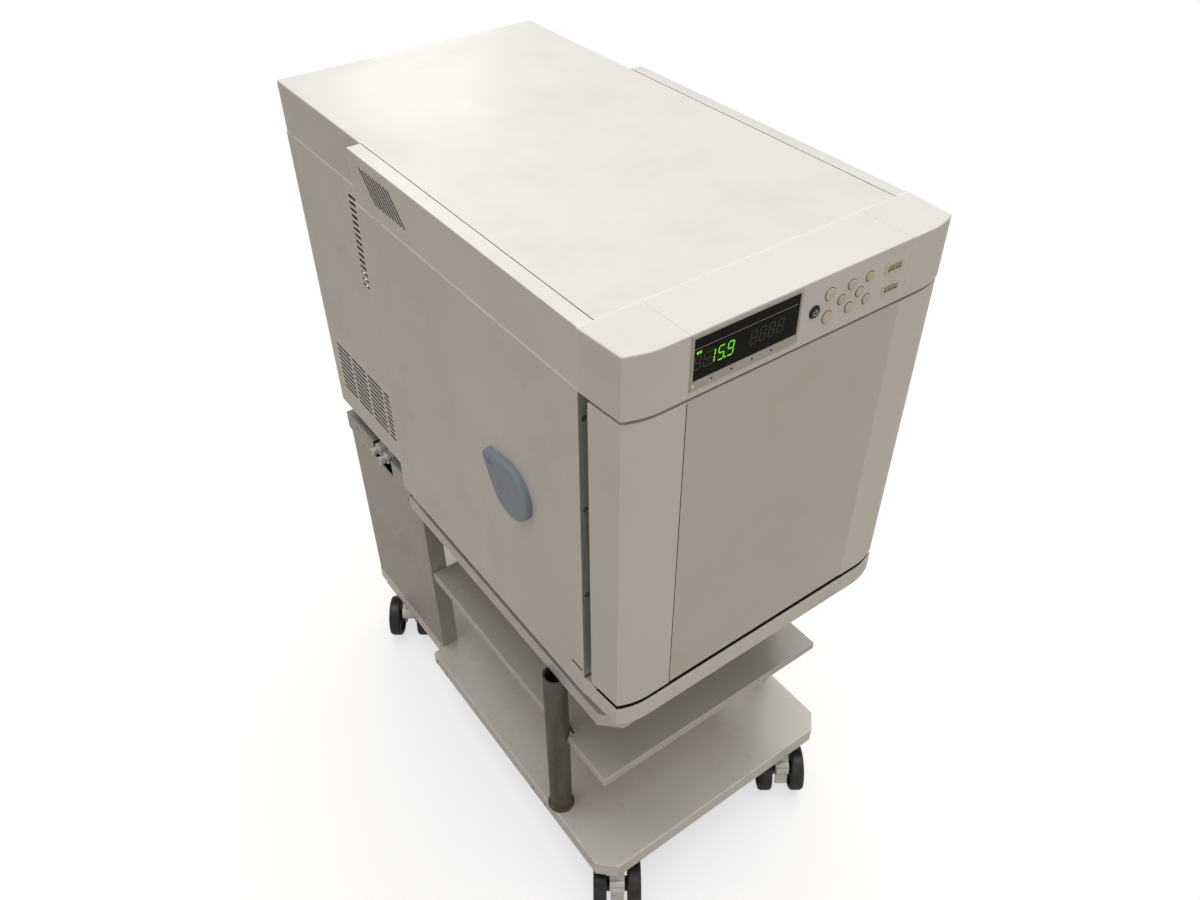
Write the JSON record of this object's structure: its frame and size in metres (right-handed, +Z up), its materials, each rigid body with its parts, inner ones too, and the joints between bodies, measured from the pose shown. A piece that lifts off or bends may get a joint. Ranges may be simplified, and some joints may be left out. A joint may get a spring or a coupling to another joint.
{
  "type": "environmental test chamber",
  "caption": "Insulated temperature and humidity test chamber with a bowed door, control head and cable port, on a wheeled stand with open shelf.",
  "frame": {"origin": "on the floor, under the middle of the whole object, on the cabinet's middle plane", "axes": "+Z up, the door faces -Y, +X is to the right of someone facing the door"},
  "size_m": [0.4693, 0.7965, 1.053],
  "materials": {
    "stand_paint": "satin",
    "shell_paint": "satin",
    "cover_plastic": "satin",
    "door_paint": "satin",
    "bare_steel": "dark, rusty at the foot",
    "zinc": "zinc plated",
    "stainless": "2B sheet",
    "foam": "foam",
    "gasket": "matte",
    "plug_rubber": "matte",
    "caster_tread": "satin",
    "foot_black": "matte",
    "bezel": "satin",
    "black_window": "gloss",
    "key_beige": "satin",
    "key_black": "satin",
    "cream": "satin",
    "wheel_white": "satin",
    "aluminium": "mill",
    "copper_coil": "finned",
    "compressor_black": "gloss",
    "motor_grey": "satin",
    "bracket_dark": "matte",
    "fitting": "turned",
    "inlet_black": "satin"
  },
  "bodies": {
    "cabinet_and_stand": {"base": "stand_paint", "caster_mounts": "zinc", "columns": "stand_paint", "poles": "bare_steel", "mid_shelf": "stand_paint", "deck": "stand_paint", "plinth": "stand_paint", "cabinet_feet": "foot_black", "bottom_pan": "zinc", "side_panels": "shell_paint", "top_rails": "shell_paint", "top_panel": "shell_paint", "rear_side_panels": "shell_paint", "rear_panel": "shell_paint", "power_inlet": "inlet_black", "front_frame": "stainless", "liner": "stainless", "insulation": "foam", "air_baffle": "stainless", "fan_motors": "motor_grey", "coils": "copper_coil", "compressor": "compressor_black", "shelf_rails": "stainless", "fitting_bracket": "bracket_dark", "pipe_fittings": "fitting", "front_covers": "cover_plastic", "head_centre": "cover_plastic", "display_bezel": "bezel", "display_window": "black_window", "number_frames": "cream", "hinge_brackets": "zinc"},
    "door": {"door_shell": "cover_plastic", "door_panel": "door_paint", "door_core": "foam", "door_gasket": "gasket"},
    "circulation_fan": {"circulation_fan": "aluminium"},
    "condenser_fan": {"condenser_fan": "aluminium"},
    "wire_shelf": {"wire_shelf": "stainless"},
    "port_plug": {"port_plug": "plug_rubber"},
    "number_wheels_upper": {"number_wheels_upper": "wheel_white"},
    "number_wheels_lower": {"number_wheels_lower": "wheel_white"},
    "key_power": {"key_power": "key_black"},
    "key_up_left": {"key_up_left": "key_beige"},
    "key_low_left": {"key_low_left": "key_beige"},
    "key_middle": {"key_middle": "key_beige"},
    "key_up_centre": {"key_up_centre": "key_beige"},
    "key_low_centre": {"key_low_centre": "key_beige"},
    "key_centre_right": {"key_centre_right": "key_beige"},
    "key_up_right": {"key_up_right": "key_beige"},
    "key_low_right": {"key_low_right": "key_beige"},
    "caster_fork_front_left": {"caster_fork_front_left": "zinc"},
    "caster_wheels_front_left": {"caster_wheels_front_left": "caster_tread"},
    "stop_lever_front_left": {"stop_lever_front_left": "zinc"},
    "caster_fork_front_right": {"caster_fork_front_right": "zinc"},
    "caster_wheels_front_right": {"caster_wheels_front_right": "caster_tread"},
    "stop_lever_front_right": {"stop_lever_front_right": "zinc"},
    "caster_fork_rear_left": {"caster_fork_rear_left": "zinc"},
    "caster_wheels_rear_left": {"caster_wheels_rear_left": "caster_tread"},
    "caster_fork_rear_right": {"caster_fork_rear_right": "zinc"},
    "caster_wheels_rear_right": {"caster_wheels_rear_right": "caster_tread"}
  },
  "joints": [
    {"name": "door_hinge", "type": "hinge", "parent": "cabinet_and_stand", "child": "door", "pos_m": [0.214, -0.328, 0.765], "axis": [0, 0, 1], "range_deg": [0, 110]},
    {"name": "circulation_fan_spin", "type": "hinge", "parent": "cabinet_and_stand", "child": "circulation_fan", "pos_m": [0, -0.02, 0.82], "axis": [0, 1, 0], "continuous": true},
    {"name": "condenser_fan_spin", "type": "hinge", "parent": "cabinet_and_stand", "child": "condenser_fan", "pos_m": [-0.137, 0.28, 0.61], "axis": [1, 0, 0], "continuous": true},
    {"name": "wire_shelf_lift", "type": "slide", "parent": "cabinet_and_stand", "child": "wire_shelf", "axis": [0, 0, 1], "range_m": [0, 0.03]},
    {"name": "port_plug_pull", "type": "slide", "parent": "cabinet_and_stand", "child": "port_plug", "axis": [-1, 0, 0], "range_m": [0, 0.06]},
    {"name": "key_power_press", "type": "slide", "parent": "cabinet_and_stand", "child": "key_power", "axis": [0, 1, 0], "range_m": [0, 0.0012], "stiffness_N_per_m": 500},
    {"name": "key_up_left_press", "type": "slide", "parent": "cabinet_and_stand", "child": "key_up_left", "axis": [0, 1, 0], "range_m": [0, 0.0012], "stiffness_N_per_m": 500},
    {"name": "key_low_left_press", "type": "slide", "parent": "cabinet_and_stand", "child": "key_low_left", "axis": [0, 1, 0], "range_m": [0, 0.0012], "stiffness_N_per_m": 500},
    {"name": "key_middle_press", "type": "slide", "parent": "cabinet_and_stand", "child": "key_middle", "axis": [0, 1, 0], "range_m": [0, 0.0012], "stiffness_N_per_m": 500},
    {"name": "key_up_centre_press", "type": "slide", "parent": "cabinet_and_stand", "child": "key_up_centre", "axis": [0, 1, 0], "range_m": [0, 0.0012], "stiffness_N_per_m": 500},
    {"name": "key_low_centre_press", "type": "slide", "parent": "cabinet_and_stand", "child": "key_low_centre", "axis": [0, 1, 0], "range_m": [0, 0.0012], "stiffness_N_per_m": 500},
    {"name": "key_centre_right_press", "type": "slide", "parent": "cabinet_and_stand", "child": "key_centre_right", "axis": [0, 1, 0], "range_m": [0, 0.0012], "stiffness_N_per_m": 500},
    {"name": "key_up_right_press", "type": "slide", "parent": "cabinet_and_stand", "child": "key_up_right", "axis": [0, 1, 0], "range_m": [0, 0.0012], "stiffness_N_per_m": 500},
    {"name": "key_low_right_press", "type": "slide", "parent": "cabinet_and_stand", "child": "key_low_right", "axis": [0, 1, 0], "range_m": [0, 0.0012], "stiffness_N_per_m": 500},
    {"name": "number_wheels_upper_turn", "type": "hinge", "parent": "cabinet_and_stand", "child": "number_wheels_upper", "pos_m": [0.1239, -0.3847, 1.0277], "axis": [1, 0, 0], "continuous": true},
    {"name": "number_wheels_lower_turn", "type": "hinge", "parent": "cabinet_and_stand", "child": "number_wheels_lower", "pos_m": [0.1239, -0.3847, 1.0032], "axis": [1, 0, 0], "continuous": true},
    {"name": "front_left_swivel", "type": "hinge", "parent": "cabinet_and_stand", "child": "caster_fork_front_left", "pos_m": [-0.17, -0.325, 0.09], "axis": [0, 0, 1], "continuous": true},
    {"name": "front_left_roll", "type": "hinge", "parent": "caster_fork_front_left", "child": "caster_wheels_front_left", "pos_m": [-0.18646, -0.34765, 0.0375], "axis": [0.809, -0.5878, 0], "continuous": true},
    {"name": "front_left_stop", "type": "hinge", "parent": "caster_fork_front_left", "child": "stop_lever_front_left", "pos_m": [-0.19351, -0.35736, 0.06], "axis": [0.809, -0.5878, 0], "range_deg": [0, 20]},
    {"name": "front_right_swivel", "type": "hinge", "parent": "cabinet_and_stand", "child": "caster_fork_front_right", "pos_m": [0.17, -0.325, 0.09], "axis": [0, 0, 1], "continuous": true},
    {"name": "front_right_roll", "type": "hinge", "parent": "caster_fork_front_right", "child": "caster_wheels_front_right", "pos_m": [0.15354, -0.34765, 0.0375], "axis": [0.809, -0.5878, 0], "continuous": true},
    {"name": "front_right_stop", "type": "hinge", "parent": "caster_fork_front_right", "child": "stop_lever_front_right", "pos_m": [0.14649, -0.35736, 0.06], "axis": [0.809, -0.5878, 0], "range_deg": [0, 20]},
    {"name": "rear_left_swivel", "type": "hinge", "parent": "cabinet_and_stand", "child": "caster_fork_rear_left", "pos_m": [-0.17, 0.335, 0.09], "axis": [0, 0, 1], "continuous": true},
    {"name": "rear_left_roll", "type": "hinge", "parent": "caster_fork_rear_left", "child": "caster_wheels_rear_left", "pos_m": [-0.18646, 0.31235, 0.0375], "axis": [0.809, -0.5878, 0], "continuous": true},
    {"name": "rear_right_swivel", "type": "hinge", "parent": "cabinet_and_stand", "child": "caster_fork_rear_right", "pos_m": [0.17, 0.335, 0.09], "axis": [0, 0, 1], "continuous": true},
    {"name": "rear_right_roll", "type": "hinge", "parent": "caster_fork_rear_right", "child": "caster_wheels_rear_right", "pos_m": [0.184, 0.31075, 0.0375], "axis": [0.866, 0.5, 0], "continuous": true}
  ]
}
